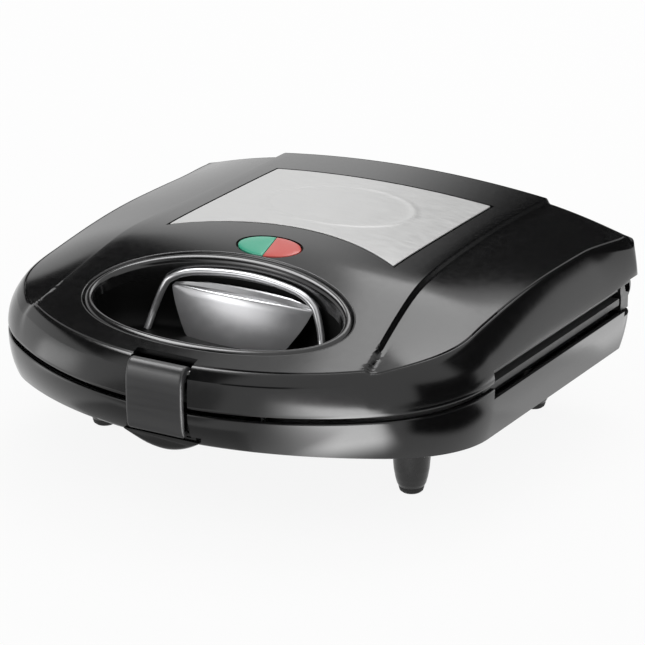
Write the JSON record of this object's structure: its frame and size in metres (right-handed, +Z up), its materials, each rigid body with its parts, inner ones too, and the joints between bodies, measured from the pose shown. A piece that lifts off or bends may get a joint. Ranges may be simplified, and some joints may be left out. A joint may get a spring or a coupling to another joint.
{
  "type": "sandwich toaster",
  "caption": "Clam-shell sandwich toaster with a hinged lid, front latch, finger well with grip, lamp window, badge plate and ridged cooking plates.",
  "frame": {"origin": "centre of the bounding box's bottom face, on the table under the feet", "axes": "+X to the user's right, +Y from the front latch to the hinges at the back, +Z up"},
  "size_m": [0.24, 0.2338, 0.0977],
  "materials": {
    "housing": "glossy black moulding",
    "inner_frame": "plain dark grey",
    "cooking_plate": "black non-stick coating on cast metal",
    "element": "dull heat-stained sheath",
    "shield": "plain aluminised sheet",
    "fixings": "bright plated steel",
    "feet": "plain black",
    "pads": "soft black",
    "hinge_plastic": "plain black",
    "ceramic": "pale insulating body",
    "wires": "braided glass sleeve",
    "well_plastic": "satin black",
    "grip": "satin silver grey",
    "stainless": "brushed across its width",
    "green_lens": "tinted clear",
    "red_lens": "tinted clear",
    "lamp_glass": "clear",
    "latch_plastic": "dark grey satin"
  },
  "bodies": {
    "base": {"base_shell": "housing", "base_frame": "inner_frame", "lower_cooking_plate": "cooking_plate", "lower_heating_element": "element", "lower_heat_shield": "shield", "lower_plate_screws": "fixings", "base_screws": "fixings", "front_left_foot": "feet", "front_right_foot": "feet", "rear_left_foot": "feet", "rear_right_foot": "feet", "foot_pads": "pads", "hinge_blocks": "hinge_plastic", "hinge_pins": "fixings", "rear_spine": "hinge_plastic", "cord_gland": "feet", "cord_clamp": "ceramic", "terminal_block": "ceramic", "thermostat": "ceramic", "thermal_fuse": "ceramic", "base_leads": "wires"},
    "lid": {"lid_shell": "housing", "lid_frame": "inner_frame", "finger_well": "well_plastic", "handle_grip": "grip", "badge_plate": "stainless", "power_lens": "green_lens", "ready_lens": "red_lens", "lamp_holder": "ceramic", "neon_lamps": "lamp_glass", "upper_cooking_plate": "cooking_plate", "upper_heating_element": "element", "upper_heat_shield": "shield", "upper_plate_screws": "fixings", "lid_screws": "fixings", "hinge_bar": "hinge_plastic", "lid_leads": "wires", "latch_pin": "fixings"},
    "latch": {"latch": "latch_plastic"}
  },
  "joints": [
    {"name": "lid_hinge", "type": "hinge", "parent": "base", "child": "lid", "pos_m": [0, 0.106, 0.058], "axis": [-1, 0, 0], "range_deg": [0, 100]},
    {"name": "latch_hinge", "type": "hinge", "parent": "lid", "child": "latch", "pos_m": [0, -0.1098, 0.0672], "axis": [-1, 0, 0], "range_deg": [0, 95]}
  ]
}
